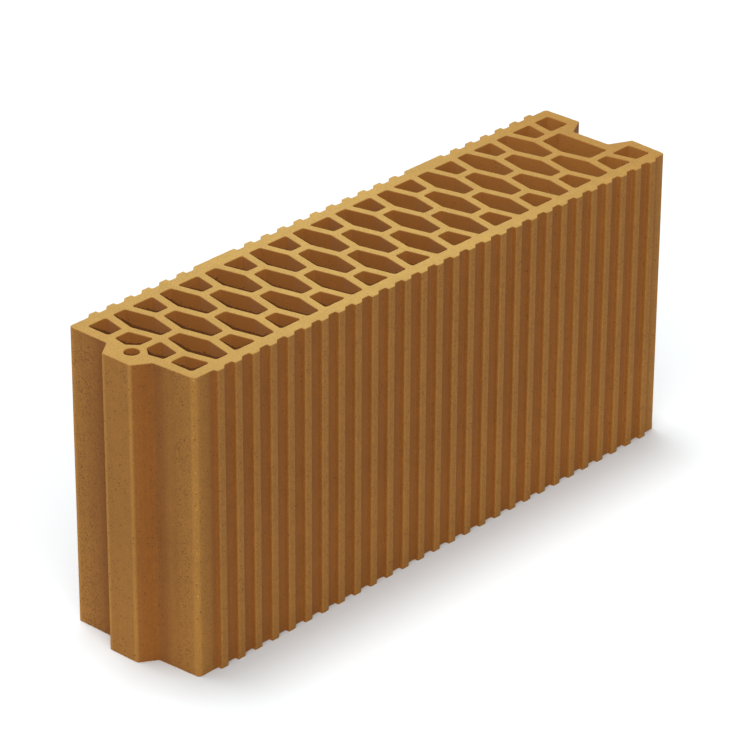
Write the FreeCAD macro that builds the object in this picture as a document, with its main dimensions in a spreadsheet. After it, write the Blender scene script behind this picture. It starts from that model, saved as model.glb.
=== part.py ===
import FreeCAD, Part
import math
import os
import Sketcher

# Hollow clay block, extruded as one piece: a honeycomb of upright cells in a thin shell, ribs on
# both long sides, a tongue on one end and a groove on the other. Millimetres. X runs along the
# block from the tongue end to the groove end, Y across it, Z up the cells. The origin is in the
# middle of the bottom face, between the two end faces.

SIZES = {
    "body_length": 500,       # end face to end face, without the tongue
    "base_width": 116.9,      # across the long sides, between the ribs
    "body_height": 230,
    "corner_radius": 3,
    "front_lean": 2.3,        # how far each end face falls back on the -Y side of its joint
    "tongue_rise": 12.8,
    "tongue_tip": 26.5,       # width of the tongue at its outer face
    "tongue_root": 44,        # width of the tongue where it leaves the end face
    "groove_side_play": 3.5,  # mortar room on each side of a neighbour's tongue
    "groove_end_play": 4.8,   # mortar room in front of a neighbour's tongue
    "joint_radius": 1.5,      # rounding of the tongue's and the groove's edges
    "tongue_hole": 10.8,      # diameter of the round hole behind the tongue
    "tongue_hole_inset": 2.2,
    "tongue_hole_wall": 5.5,
    "shell": 9.5,             # clay between a long side and the cells
    "end_wall": 9.2,          # clay between an end face or the groove's floor and the cells
    "web": 6.7,               # clay between two cells
    "cell_pitch": 44.3,       # from one two-cell column to the next
    "cell_flare": 5.05,       # how much wider, on each side, a cell is at its waist than at its ends
    "cell_radius": 1.5,
    "first_cell": 38.35,      # tongue end face to the middle of the first two-cell column
    "last_cell": 62.95,       # middle of the last two-cell column to the groove end face
    "rib_pitch": 16.88,
    "rib_rise": 3.3,
    "rib_crest": 6.65,        # width of a rib's outer face
    "rib_root": 10.35,        # width of a rib where it leaves the plain side
    "rib_lead": 4.15,         # a rib's place to its steep flank
    "rib_seat": 1,            # how deep a rib's section reaches into the shell
    "first_rib": 24.7,        # tongue end face to the place of the first rib
    "last_rib": 19.5,         # place of the last rib to the groove end face
    "band_after": 6,          # ribs between an end and the wide band on the back
    "band_ribs": 3,           # ribs that the wide band joins
}

document = FreeCAD.newDocument("hollow_clay_block")
sheet = document.addObject("Spreadsheet::Sheet", "Sizes")
for row, (alias, value) in enumerate(SIZES.items(), start=1):
    sheet.set(f"A{row}", alias)
    sheet.set(f"B{row}", str(value))
    sheet.setAlias(f"B{row}", alias)
document.recompute()

# Places and widths that follow from the sizes, as expressions on the sheet
TONGUE_END = "(-Sizes.body_length / 2)"
GROOVE_END = "(Sizes.body_length / 2)"
SIDE = "(Sizes.base_width / 2)"

TONGUE_FACE = f"({TONGUE_END} - Sizes.tongue_rise)"
GROOVE_FLOOR = f"({GROOVE_END} - Sizes.tongue_rise - Sizes.groove_end_play)"
GROOVE_FLOOR_HALF = "(Sizes.tongue_tip / 2 + Sizes.groove_side_play)"
GROOVE_MOUTH_HALF = "(Sizes.tongue_root / 2 + Sizes.groove_side_play)"

CELL_REACH = f"({SIDE} - Sizes.shell)"                    # outer end of the outer cells
CELL_HALF = f"(({CELL_REACH} - Sizes.web / 2) / 2)"       # half the length of a whole cell
OUTER_WAIST = f"(Sizes.web / 2 + {CELL_HALF})"            # Y of a column's two waists
SHORT_START = f"({CELL_HALF} + Sizes.web)"                # inner end of a short outer cell

CELL_SPAN = "(Sizes.body_length - Sizes.first_cell - Sizes.last_cell)"
CELL_STEPS = f"round({CELL_SPAN} / Sizes.cell_pitch)"
CELL_STEP = f"({CELL_SPAN} / {CELL_STEPS})"
FIRST_CELL = f"({TONGUE_END} + Sizes.first_cell)"
LAST_CELL = f"({GROOVE_END} - Sizes.last_cell)"

# The slanted walls of neighbouring cells run parallel, one web apart. That sets the cells' width.
WEB_ALONG = f"(Sizes.web * sqrt(1 + pow(Sizes.cell_flare / {CELL_HALF}; 2)))"
FLARE_SHARE = f"(Sizes.cell_flare * (1 - Sizes.web / 2 / {CELL_HALF}))"
CELL_TIP = f"(({CELL_STEP} / 2 - {WEB_ALONG} - {FLARE_SHARE}) / 2)"     # half width at its ends
CELL_WAIST = f"({CELL_TIP} + Sizes.cell_flare)"                         # half width at its waist
SHORT_WIDE = f"({CELL_WAIST} - Sizes.cell_flare * (1 - ({CELL_REACH} - {SHORT_START}) / {CELL_HALF}))"
AT_WEB = f"({CELL_WAIST} - Sizes.cell_flare * Sizes.web / 2 / {CELL_HALF})"

RIB_SPAN = "(Sizes.body_length - Sizes.first_rib - Sizes.last_rib)"
RIB_STEPS = f"round({RIB_SPAN} / Sizes.rib_pitch)"
RIB_STEP = f"({RIB_SPAN} / {RIB_STEPS})"
FIRST_RIB = f"({TONGUE_END} + Sizes.first_rib)"
LAST_RIB = f"({GROOVE_END} - Sizes.last_rib)"


def number(expression):
    """The present value of an expression on the sheet."""
    return float(sheet.evalExpression(expression))


def new_sketch(body, name):
    """An empty sketch on the body's bottom plane."""
    sketch = body.newObject("Sketcher::SketchObject", name)
    planes = [plane for plane in body.Origin.OriginFeatures if plane.Role == "XY_Plane"]
    sketch.AttachmentSupport = (planes[0], [""])
    sketch.MapMode = "FlatFace"
    return sketch


def place_point(sketch, geometry, position, x, y):
    """Holds a point of the sketch at two expressions, measured from the origin."""
    for kind, expression in (("DistanceX", x), ("DistanceY", y)):
        value = number(expression)
        index = sketch.addConstraint(Sketcher.Constraint(kind, -1, 1, geometry, position, value))
        sketch.setExpression(f"Constraints[{index}]", expression)


def add_outline(sketch, corners):
    """A closed outline, anticlockwise, through corners (x, y, radius); radius None stays sharp."""
    points = [FreeCAD.Vector(number(x), number(y), 0) for x, y, _ in corners]
    entries, exits, arcs = [], [], []
    for index, (_, _, radius) in enumerate(corners):
        here = points[index]
        back = (points[index - 1] - here).normalize()
        ahead = (points[(index + 1) % len(points)] - here).normalize()
        if radius is None:
            entries.append(here)
            exits.append(here)
            arcs.append(None)
            continue
        half_angle = back.getAngle(ahead) / 2
        trim = number(radius) / math.tan(half_angle)
        centre = here + (back + ahead).normalize() * (number(radius) / math.sin(half_angle))
        entry, leave = here + back * trim, here + ahead * trim
        turns_left = back.cross(ahead).z < 0
        begin, end = (entry, leave) if turns_left else (leave, entry)
        start_angle = math.atan2(begin.y - centre.y, begin.x - centre.x)
        end_angle = math.atan2(end.y - centre.y, end.x - centre.x)
        if end_angle < start_angle:
            end_angle += 2 * math.pi
        circle = Part.Circle(centre, FreeCAD.Vector(0, 0, 1), number(radius))
        entries.append(entry)
        exits.append(leave)
        arcs.append((Part.ArcOfCircle(circle, start_angle, end_angle), 1 if turns_left else 2))

    lines = []
    for index in range(len(points)):
        ahead = (index + 1) % len(points)
        lines.append(sketch.addGeometry(Part.LineSegment(exits[index], entries[ahead]), False))
    for index, (x, y, radius) in enumerate(corners):
        before, after = lines[index - 1], lines[index]
        if radius is None:
            sketch.addConstraint(Sketcher.Constraint("Coincident", before, 2, after, 1))
            place_point(sketch, after, 1, x, y)
            continue
        curve, entry_end = arcs[index]
        arc = sketch.addGeometry(curve, False)
        corner = sketch.addGeometry(Part.Point(points[index]), True)
        sketch.addConstraint([
            Sketcher.Constraint("Tangent", before, 2, arc, entry_end),
            Sketcher.Constraint("Tangent", after, 1, arc, 3 - entry_end),
            Sketcher.Constraint("PointOnObject", corner, 1, before),
            Sketcher.Constraint("PointOnObject", corner, 1, after),
        ])
        rounding = sketch.addConstraint(Sketcher.Constraint("Radius", arc, number(radius)))
        sketch.setExpression(f"Constraints[{rounding}]", radius)
        place_point(sketch, corner, 1, x, y)


def add_circle(sketch, x, y, radius):
    """A whole circle about a point, all three given as expressions."""
    centre = FreeCAD.Vector(number(x), number(y), 0)
    circle = Part.Circle(centre, FreeCAD.Vector(0, 0, 1), number(radius))
    ring = sketch.addGeometry(circle, False)
    rounding = sketch.addConstraint(Sketcher.Constraint("Radius", ring, number(radius)))
    sketch.setExpression(f"Constraints[{rounding}]", radius)
    place_point(sketch, ring, 3, x, y)


def raise_outline(body, sketch, name):
    """The sketch raised to the block's full height."""
    pad = body.newObject("PartDesign::Pad", name)
    pad.Profile = sketch
    pad.setExpression("Length", "Sizes.body_height")
    sketch.Visibility = False
    return pad


def cut_outline(body, sketch, name):
    """The sketch cut upwards through the whole block."""
    pocket = body.newObject("PartDesign::Pocket", name)
    pocket.Profile = sketch
    pocket.Type = "Length"
    pocket.Reversed = True
    pocket.setExpression("Length", "Sizes.body_height")
    sketch.Visibility = False
    return pocket


def repeat_along(body, feature, name, length, steps):
    """Equal copies of a feature along +X, spread over a length in a number of steps."""
    axes = [axis for axis in body.Origin.OriginFeatures if axis.Role == "X_Axis"]
    pattern = body.newObject("PartDesign::LinearPattern", name)
    pattern.Originals = [feature]
    pattern.Direction = (axes[0], [""])
    pattern.setExpression("Length", length)
    pattern.setExpression("Occurrences", f"{steps} + 1")
    body.Tip = pattern
    return pattern


def block_outline(body):
    """The block's section with its tongue and its groove, before the ribs and the cells."""
    corner, joint = "Sizes.corner_radius", "Sizes.joint_radius"
    sketch = new_sketch(body, "BlockOutline")
    add_outline(sketch, [
        (f"{TONGUE_END} + Sizes.front_lean", f"-{SIDE}", corner),
        (f"{GROOVE_END} - Sizes.front_lean", f"-{SIDE}", corner),
        (GROOVE_END, f"-{GROOVE_MOUTH_HALF}", joint),
        (GROOVE_FLOOR, f"-{GROOVE_FLOOR_HALF}", joint),
        (GROOVE_FLOOR, GROOVE_FLOOR_HALF, joint),
        (GROOVE_END, GROOVE_MOUTH_HALF, joint),
        (GROOVE_END, SIDE, corner),
        (TONGUE_END, SIDE, corner),
        (TONGUE_END, "Sizes.tongue_root / 2", joint),
        (TONGUE_FACE, "Sizes.tongue_tip / 2", joint),
        (TONGUE_FACE, "-Sizes.tongue_tip / 2", joint),
        (TONGUE_END, "-Sizes.tongue_root / 2", joint),
    ])
    return raise_outline(body, sketch, "Block")


def rib_section(sign, middle):
    """A rib's section on the front (-1) or the back (1): one steep flank and one that slopes.
    The back's section is the front's turned by half a turn."""
    corners = [
        ("-Sizes.rib_lead", f"{SIDE} - Sizes.rib_seat"),
        ("-Sizes.rib_lead", f"{SIDE} + Sizes.rib_rise"),
        ("Sizes.rib_crest - Sizes.rib_lead", f"{SIDE} + Sizes.rib_rise"),
        ("Sizes.rib_root - Sizes.rib_lead", SIDE),
        ("Sizes.rib_root - Sizes.rib_lead", f"{SIDE} - Sizes.rib_seat"),
    ]
    return [(f"{middle} + ({-sign}) * ({across})", f"{sign} * ({level})", None)
            for across, level in corners]


def ribs(body):
    """Plaster ribs: the front's row, steep towards -X, and the back's, steep towards +X."""
    sketch = new_sketch(body, "RibSections")
    add_outline(sketch, rib_section(-1, FIRST_RIB))
    add_outline(sketch, rib_section(1, FIRST_RIB))
    pair = raise_outline(body, sketch, "RibPair")
    return repeat_along(body, pair, "RibRows", RIB_SPAN, RIB_STEPS)


def wide_bands(body):
    """Two wide bands on the back, each in the place of a few ribs and as proud as they are."""
    sketch = new_sketch(body, "BandSections")
    near = f"Sizes.band_after * {RIB_STEP}"
    far = f"(Sizes.band_after + Sizes.band_ribs - 1) * {RIB_STEP}"
    low, high = f"{SIDE} - Sizes.rib_seat", f"{SIDE} + Sizes.rib_rise"
    for left, right in ((f"{FIRST_RIB} + {near}", f"{FIRST_RIB} + {far}"),
                        (f"{LAST_RIB} - {far}", f"{LAST_RIB} - {near}")):
        add_outline(sketch, [(left, low, None), (right, low, None),
                             (right, high, None), (left, high, None)])
    return raise_outline(body, sketch, "WideBands")


def whole_cell(column, waist):
    """A six-sided cell, long across the block, with its waist at a given Y."""
    radius = "Sizes.cell_radius"
    return [
        (f"{column} - {CELL_WAIST}", waist, None),
        (f"{column} - {CELL_TIP}", f"{waist} - {CELL_HALF}", radius),
        (f"{column} + {CELL_TIP}", f"{waist} - {CELL_HALF}", radius),
        (f"{column} + {CELL_WAIST}", waist, None),
        (f"{column} + {CELL_TIP}", f"{waist} + {CELL_HALF}", radius),
        (f"{column} - {CELL_TIP}", f"{waist} + {CELL_HALF}", radius),
    ]


def mirrored(corners):
    """The same outline on the other side of the block's middle plane."""
    return [(x, f"-({y})", radius) for x, y, radius in reversed(corners)]


def cell_rows(body):
    """The honeycomb: columns of two whole cells, and between them one whole and two short cells."""
    radius = "Sizes.cell_radius"
    second = f"({FIRST_CELL} + {CELL_STEP} / 2)"
    short_cell = [
        (f"{second} - {CELL_TIP}", SHORT_START, radius),
        (f"{second} + {CELL_TIP}", SHORT_START, radius),
        (f"{second} + {SHORT_WIDE}", CELL_REACH, radius),
        (f"{second} - {SHORT_WIDE}", CELL_REACH, radius),
    ]
    sketch = new_sketch(body, "SideCells")
    add_outline(sketch, whole_cell(FIRST_CELL, OUTER_WAIST))
    add_outline(sketch, whole_cell(FIRST_CELL, f"-{OUTER_WAIST}"))
    add_outline(sketch, short_cell)
    add_outline(sketch, mirrored(short_cell))
    four = cut_outline(body, sketch, "SideHoles")
    repeat_along(body, four, "SideRows", CELL_SPAN, CELL_STEPS)

    sketch = new_sketch(body, "MiddleCell")
    add_outline(sketch, whole_cell(second, "0"))
    cell = cut_outline(body, sketch, "MiddleHole")
    return repeat_along(body, cell, "MiddleRow", f"{CELL_SPAN} - {CELL_STEP}", f"{CELL_STEPS} - 1")


def tongue_end_cells(sketch):
    """Four cells behind the tongue, clipped by the end wall, and the round hole that they clear."""
    radius = "Sizes.cell_radius"
    column = f"({FIRST_CELL} - {CELL_STEP} / 2)"
    wall = f"({TONGUE_END} + Sizes.end_wall)"
    clear = "(Sizes.tongue_hole / 2 + Sizes.tongue_hole_wall)"
    hole = f"({TONGUE_END} + Sizes.tongue_hole_inset)"
    outer_cell = [
        (wall, SHORT_START, radius),
        (f"{column} + {CELL_TIP}", SHORT_START, radius),
        (f"{column} + {SHORT_WIDE}", CELL_REACH, radius),
        (wall, CELL_REACH, radius),
    ]
    inner_cell = [
        (f"{hole} + {clear}", "Sizes.web / 2", radius),
        (f"{column} + {AT_WEB}", "Sizes.web / 2", radius),
        (f"{column} + {CELL_TIP}", CELL_HALF, radius),
        (wall, CELL_HALF, radius),
        (f"{wall} - Sizes.tongue_hole_inset", clear, radius),
    ]
    for cell in (outer_cell, inner_cell):
        add_outline(sketch, cell)
        add_outline(sketch, mirrored(cell))
    add_circle(sketch, hole, "0", "Sizes.tongue_hole / 2")


def groove_end_cells(sketch):
    """One wide cell behind the groove's floor and a corner cell on each side of the groove."""
    radius = "Sizes.cell_radius"
    column = f"({LAST_CELL} + {CELL_STEP} / 2)"
    outer_column = f"({LAST_CELL} + {CELL_STEP})"
    floor_wall = f"({GROOVE_FLOOR} - Sizes.end_wall)"
    corner_wall = f"({GROOVE_END} - Sizes.end_wall)"
    slant = f"(Sizes.cell_flare / {CELL_HALF})"
    corner_inner = f"{outer_column} - {CELL_WAIST} + {slant} * ({SHORT_START} - {OUTER_WAIST})"
    wide_cell = [
        (f"{column} - {CELL_WAIST}", "0", None),
        (f"{column} - {CELL_TIP}", f"-{CELL_HALF}", radius),
        (floor_wall, f"-{CELL_HALF}", radius),
        (floor_wall, CELL_HALF, radius),
        (f"{column} - {CELL_TIP}", CELL_HALF, radius),
    ]
    corner_cell = [
        (corner_inner, SHORT_START, radius),
        (corner_wall, SHORT_START, radius),
        (corner_wall, CELL_REACH, radius),
        (f"{outer_column} - {CELL_TIP}", CELL_REACH, radius),
    ]
    add_outline(sketch, wide_cell)
    add_outline(sketch, corner_cell)
    add_outline(sketch, mirrored(corner_cell))


def end_cells(body):
    """The cells at both ends, which no row repeats."""
    sketch = new_sketch(body, "EndCells")
    tongue_end_cells(sketch)
    groove_end_cells(sketch)
    return cut_outline(body, sketch, "EndHoles")


def clay_block():
    """The whole block as one body."""
    body = document.addObject("PartDesign::Body", "clay_block")
    body.Label = "clay_block"
    for step in (block_outline, ribs, wide_bands, cell_rows, end_cells):
        body.Tip = step(body)
    return body


block = clay_block()
document.recompute()

for item in document.Objects:
    if "Invalid" in item.State or "Error" in item.State:
        raise RuntimeError(f"{item.Name} failed: {item.State}")
for feature in block.Group:
    if feature.TypeId in ("PartDesign::Pocket", "PartDesign::Pad") and feature.BaseFeature:
        change = feature.Shape.Volume - feature.BaseFeature.Shape.Volume
        adds = feature.TypeId == "PartDesign::Pad"
        if (change > 0) != adds:
            raise RuntimeError(f"{feature.Name} changes the volume by {change:.0f} mm3")
if block.Shape.isNull() or not block.Shape.isValid() or len(block.Shape.Solids) != 1:
    raise RuntimeError("the block is not one valid solid")

os.makedirs("parts", exist_ok=True)
block.Shape.exportStep(f"parts/{block.Label}.step")
bounds = block.Shape.BoundBox
print(f"clay_block {bounds.XLength:.1f} x {bounds.YLength:.1f} x {bounds.ZLength:.1f} mm,",
      f"{block.Shape.Volume / 1000:.0f} cm3, {len(block.Shape.Faces)} faces")
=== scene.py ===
# %% [markdown]
# # A hollow clay wall block
# The real block is pressed through a die as one long bar of wet clay, cut to length with a wire,
# dried and fired. So every wall runs straight up, the long sides and the cells carry the smooth
# skin that the die leaves, and only the top and the bottom show the rough cut.
#
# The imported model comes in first. Everything here is in metres in its frame: X along the block
# from the tongue to the groove, Y across it, Z up the cells.

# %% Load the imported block
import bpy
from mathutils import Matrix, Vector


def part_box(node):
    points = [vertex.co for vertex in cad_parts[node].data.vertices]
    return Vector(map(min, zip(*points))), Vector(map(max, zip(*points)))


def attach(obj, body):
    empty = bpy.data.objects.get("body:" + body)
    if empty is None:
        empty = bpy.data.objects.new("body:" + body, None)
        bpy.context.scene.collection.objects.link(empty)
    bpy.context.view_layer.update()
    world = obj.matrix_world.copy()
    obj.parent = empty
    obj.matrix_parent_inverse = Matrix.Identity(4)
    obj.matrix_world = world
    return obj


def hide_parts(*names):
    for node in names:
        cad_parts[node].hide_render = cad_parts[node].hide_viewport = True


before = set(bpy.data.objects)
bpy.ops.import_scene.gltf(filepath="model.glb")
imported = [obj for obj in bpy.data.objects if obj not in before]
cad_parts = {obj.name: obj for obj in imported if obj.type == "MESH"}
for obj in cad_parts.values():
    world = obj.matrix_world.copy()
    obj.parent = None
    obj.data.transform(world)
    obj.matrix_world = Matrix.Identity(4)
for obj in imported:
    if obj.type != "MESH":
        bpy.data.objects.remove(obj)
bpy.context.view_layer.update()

block_low, block_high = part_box("clay_block")
print("packed block, mm:", [round(1000 * (high - low), 1) for low, high in zip(block_low, block_high)])

# %% [markdown]
# ## Tools
# `bmesh` builds the mesh corner by corner, `numpy` measures the outline all at once, and
# `mathutils` has vectors and the smooth noise that makes the walls and arrises uneven.

# %% Tools used below
import math

import bmesh
import bpy
import numpy as np
from mathutils import Matrix, Vector, noise

MM = 0.001
print("one millimetre is", MM, "m")

# %% [markdown]
# ## The section's corners
# The block is one section pushed straight up, so the work is all in the section. Blender could
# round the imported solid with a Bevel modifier, but the cells, ribs and joints want different
# radii, so each corner is listed here with its own and the walls are built from that. Millimetres
# are easier to read in a list of corners, and they are turned to metres when the mesh is made.
#
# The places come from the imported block's own box, so that a piece can't drift from the frame.

# %% The section's sizes, in millimetres
HEIGHT = block_high.z / MM
GROOVE_END = block_high.x / MM
TONGUE_END = -GROOVE_END
TONGUE_FACE = block_low.x / MM
RIB_FACE = block_high.y / MM
RIB_RISE = 3.3
SIDE = RIB_FACE - RIB_RISE
FRONT_LEAN = 2.3          # how far each end face falls back towards the front
CORNER_RADIUS = 3.0

TONGUE_TIP_HALF = 13.25
TONGUE_ROOT_HALF = 22.0
GROOVE_DEPTH = 17.6
GROOVE_FLOOR_HALF = 16.75
GROOVE_MOUTH_HALF = 25.5
JOINT_RADIUS = 1.5
VALLEY_RADIUS = 3.0       # inner corner between the tongue and the end face
print(f"section {GROOVE_END - TONGUE_FACE:.1f} x {2 * RIB_FACE:.1f} mm, {HEIGHT:.1f} mm high")

# %% [markdown]
# ## Walking round the outline
# A designer would draw the outline with straight runs and tangent arcs. `turned` does the same in
# code: it gets the corners as (x, y, radius) and returns the points of the runs and arcs. Long
# runs get points in between, because a row of small quads shades and wears more evenly than one
# long one. They lie closer outside, where small marks have to end sharply. The clay is always on
# the left of the walk: anticlockwise outside, clockwise in holes.

# %% Corners to points
ARC_STEP = math.radians(24)   # longest turn from one point of an arc to the next
OUTSIDE_STEP = 1.1            # longest run between two points of the outside, in millimetres
INSIDE_STEP = 5.0             # the same in a cell


def turned(corners):
    """Points of a closed outline whose corners are rounded, each on its own radius."""
    points = []
    for index, (x, y, radius) in enumerate(corners):
        here = Vector((x, y))
        back = (Vector(corners[index - 1][:2]) - here).normalized()
        ahead = (Vector(corners[(index + 1) % len(corners)][:2]) - here).normalized()
        half_angle = back.angle(ahead) / 2
        trim = radius / math.tan(half_angle)
        centre = here + (back + ahead).normalized() * (radius / math.sin(half_angle))
        sweep = math.pi - 2 * half_angle
        steps = max(2, math.ceil(sweep / ARC_STEP))
        start = here + back * trim - centre
        turn = sweep if back.cross(ahead) < 0 else -sweep
        for step in range(steps + 1):
            angle = turn * step / steps
            swung = Vector((start.x * math.cos(angle) - start.y * math.sin(angle),
                            start.x * math.sin(angle) + start.y * math.cos(angle)))
            points.append(centre + swung)
    return points


def with_even_runs(points, longest):
    """The same outline with points added, so that no two neighbours are further apart."""
    even = []
    for index, here in enumerate(points):
        ahead = points[(index + 1) % len(points)]
        parts = max(1, math.ceil((ahead - here).length / longest))
        even.extend(here.lerp(ahead, part / parts) for part in range(parts))
    return np.array([point[:] for point in even])


rounded_square = turned([(-1, -1, 0.5), (1, -1, 0.5), (1, 1, 0.5), (-1, 1, 0.5)])
print("a rounded square has", len(rounded_square), "points,",
      len(with_even_runs(rounded_square, 0.25)), "with its runs divided")

# %% [markdown]
# ## Outside: ribs and wide bands
# The die cuts 28 plaster ribs along each long side. Each has one steep flank and one that slopes,
# so the mason's trowel presses plaster behind the steep one. The back is the front turned by half
# a turn, and on it two wide bands stand in the place of three ribs each. One function gives a
# raised strip from one rib's place to another's, and both sides and the bands use it.

# %% Strips along the sides
RIB_COUNT = 28
RIB_SPAN = 455.8          # from the first rib's place to the last one's
RIB_PITCH = RIB_SPAN / (RIB_COUNT - 1)
FIRST_RIB = TONGUE_END + 24.7
RIB_LEAD = 4.15           # a rib's place to its steep flank
RIB_CREST = 6.65          # width of its outer face
RIB_ROOT = 10.35          # width where it leaves the side
STEEP_FOOT_RADIUS = 0.5
STEEP_CREST_RADIUS = 0.4
SLOPE_CREST_RADIUS = 0.6
SLOPE_FOOT_RADIUS = 1.0
BAND_RIBS = [(6, 8), (19, 21)]   # ribs that each wide band on the back takes the place of


def raised_strip(first, last):
    """A front strip's corners from one rib's place to another's: steep flank, crest, slope."""
    return [
        (first - RIB_LEAD, -SIDE, STEEP_FOOT_RADIUS),
        (first - RIB_LEAD, -RIB_FACE, STEEP_CREST_RADIUS),
        (last - RIB_LEAD + RIB_CREST, -RIB_FACE, SLOPE_CREST_RADIUS),
        (last - RIB_LEAD + RIB_ROOT, -SIDE, SLOPE_FOOT_RADIUS),
    ]


def half_turned(corners):
    """The same corners on the other side, turned by half a turn round the middle."""
    return [(-x, -y, radius) for x, y, radius in corners]


def strips(bands):
    """Each strip's first and last place on a side, with a band over each range of ribs in bands."""
    found = []
    last_covered = -1
    for index in range(RIB_COUNT):
        if index > last_covered:
            last_covered = dict(bands).get(index, index)
            found.append((FIRST_RIB + RIB_PITCH * index, FIRST_RIB + RIB_PITCH * last_covered))
    return found


front_row = [corner for first, last in strips([]) for corner in raised_strip(first, last)]
back_row = [corner for first, last in reversed(strips(BAND_RIBS))
            for corner in half_turned(raised_strip(-last, -first))]
print(f"rib pitch {RIB_PITCH:.2f} mm, {len(strips([]))} strips in front,",
      f"{len(strips(BAND_RIBS))} on the back")

# %% [markdown]
# ## Outside: tongue and groove
# A block's tongue stands in the next block's groove with some room, so that the wall needs no
# mortar in its upright joints. Their few corners are easiest to list one by one. With the four
# corners of the block and both rows of ribs they make one list that goes round once.

# %% The outer outline
groove_floor = GROOVE_END - GROOVE_DEPTH
outline_corners = (
    [(TONGUE_END + FRONT_LEAN, -SIDE, CORNER_RADIUS)]
    + front_row
    + [(GROOVE_END - FRONT_LEAN, -SIDE, CORNER_RADIUS),
       (GROOVE_END, -GROOVE_MOUTH_HALF, JOINT_RADIUS),
       (groove_floor, -GROOVE_FLOOR_HALF, JOINT_RADIUS),
       (groove_floor, GROOVE_FLOOR_HALF, JOINT_RADIUS),
       (GROOVE_END, GROOVE_MOUTH_HALF, JOINT_RADIUS),
       (GROOVE_END, SIDE, CORNER_RADIUS)]
    + back_row
    + [(TONGUE_END, SIDE, CORNER_RADIUS),
       (TONGUE_END, TONGUE_ROOT_HALF, VALLEY_RADIUS),
       (TONGUE_FACE, TONGUE_TIP_HALF, JOINT_RADIUS),
       (TONGUE_FACE, -TONGUE_TIP_HALF, JOINT_RADIUS),
       (TONGUE_END, -TONGUE_ROOT_HALF, VALLEY_RADIUS)]
)
outline = with_even_runs(turned(outline_corners), OUTSIDE_STEP)
print("outer outline:", len(outline), "points")

# %% [markdown]
# ## Inside: the honeycomb
# Columns of two whole cells alternate with columns of one whole cell and two short ones. Each
# cell is widest at its waist, so that neighbours fit into each other with one web of clay
# between them. Cells near the tongue and the groove are clipped by the end walls. A mirrored copy
# of a cell has its corners in the opposite order, to keep the clay on the left.

# %% The holes
WEB = 6.7                 # clay between two cells
CELL_REACH = SIDE - 9.5
CELL_HALF = (CELL_REACH - WEB / 2) / 2
OUTER_WAIST = WEB / 2 + CELL_HALF
SHORT_START = CELL_HALF + WEB
CELL_STEP = 44.3
FIRST_CELL = TONGUE_END + 38.35
COLUMNS = 10
CELL_FLARE = 5.05         # how much wider a cell is on each side at its waist than at its tips
TIP_HALF = (CELL_STEP / 2 - WEB * math.hypot(1, CELL_FLARE / CELL_HALF)
            - CELL_FLARE * (1 - WEB / 2 / CELL_HALF)) / 2
WAIST_HALF = TIP_HALF + CELL_FLARE
CELL_SLANT = CELL_FLARE / CELL_HALF
CELL_RADIUS = 1.7
WAIST_RADIUS = 4.0
END_WALL = 9.2


def whole_cell(column, waist):
    """A six-sided cell round a waist, clockwise."""
    return [
        (column - WAIST_HALF, waist, WAIST_RADIUS),
        (column - TIP_HALF, waist + CELL_HALF, CELL_RADIUS),
        (column + TIP_HALF, waist + CELL_HALF, CELL_RADIUS),
        (column + WAIST_HALF, waist, WAIST_RADIUS),
        (column + TIP_HALF, waist - CELL_HALF, CELL_RADIUS),
        (column - TIP_HALF, waist - CELL_HALF, CELL_RADIUS),
    ]


def rounded_cell(*corners):
    """A cell whose corners, clockwise, all have the cells' usual radius."""
    return [(x, y, CELL_RADIUS) for x, y in corners]


def mirrored(cell):
    """The same cell on the other side of the middle plane."""
    return [(x, -y, radius) for x, y, radius in reversed(cell)]


short_wide = WAIST_HALF - CELL_FLARE * (1 - (CELL_REACH - SHORT_START) / CELL_HALF)
holes = []
for index in range(COLUMNS):
    column = FIRST_CELL + CELL_STEP * index
    between = column + CELL_STEP / 2
    holes += [whole_cell(column, OUTER_WAIST), whole_cell(column, -OUTER_WAIST)]
    short_cell = rounded_cell((between - TIP_HALF, SHORT_START), (between - short_wide, CELL_REACH),
                              (between + short_wide, CELL_REACH), (between + TIP_HALF, SHORT_START))
    holes += [short_cell, mirrored(short_cell)]
    if index < COLUMNS - 1:
        holes.append(whole_cell(between, 0))
print(f"{len(holes)} cells in the regular rows, the whole ones",
      f"{2 * WAIST_HALF:.1f} x {2 * CELL_HALF:.1f} mm")

# %% [markdown]
# ### The cells at both ends
# Behind the tongue, four clipped cells leave room for a round hole. Behind the groove's floor lies
# one wide cell, with a corner cell on each side of the groove.

# %% End cells
HOLE_RADIUS = 5.4
HOLE_INSET = 2.2          # from the end face in to the round hole's middle
HOLE_WALL = 5.5           # clay between the round hole and the cells behind it
HOLE_POINTS = 28
CORNER_OUT = 2.2          # how far the cells beside the hole reach out past the others' end wall
hole_x = TONGUE_END + HOLE_INSET
hole_clear = HOLE_RADIUS + HOLE_WALL
end_column = FIRST_CELL - CELL_STEP / 2
end_wall = TONGUE_END + END_WALL
at_web = WAIST_HALF - CELL_SLANT * WEB / 2

outer_end_cell = rounded_cell((end_wall, SHORT_START), (end_wall, CELL_REACH),
                              (end_column + short_wide, CELL_REACH), (end_column + TIP_HALF, SHORT_START))
inner_end_cell = rounded_cell((hole_x + hole_clear, WEB / 2), (end_wall - CORNER_OUT, hole_clear),
                              (end_wall, CELL_HALF), (end_column + TIP_HALF, CELL_HALF),
                              (end_column + at_web, WEB / 2))

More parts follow.
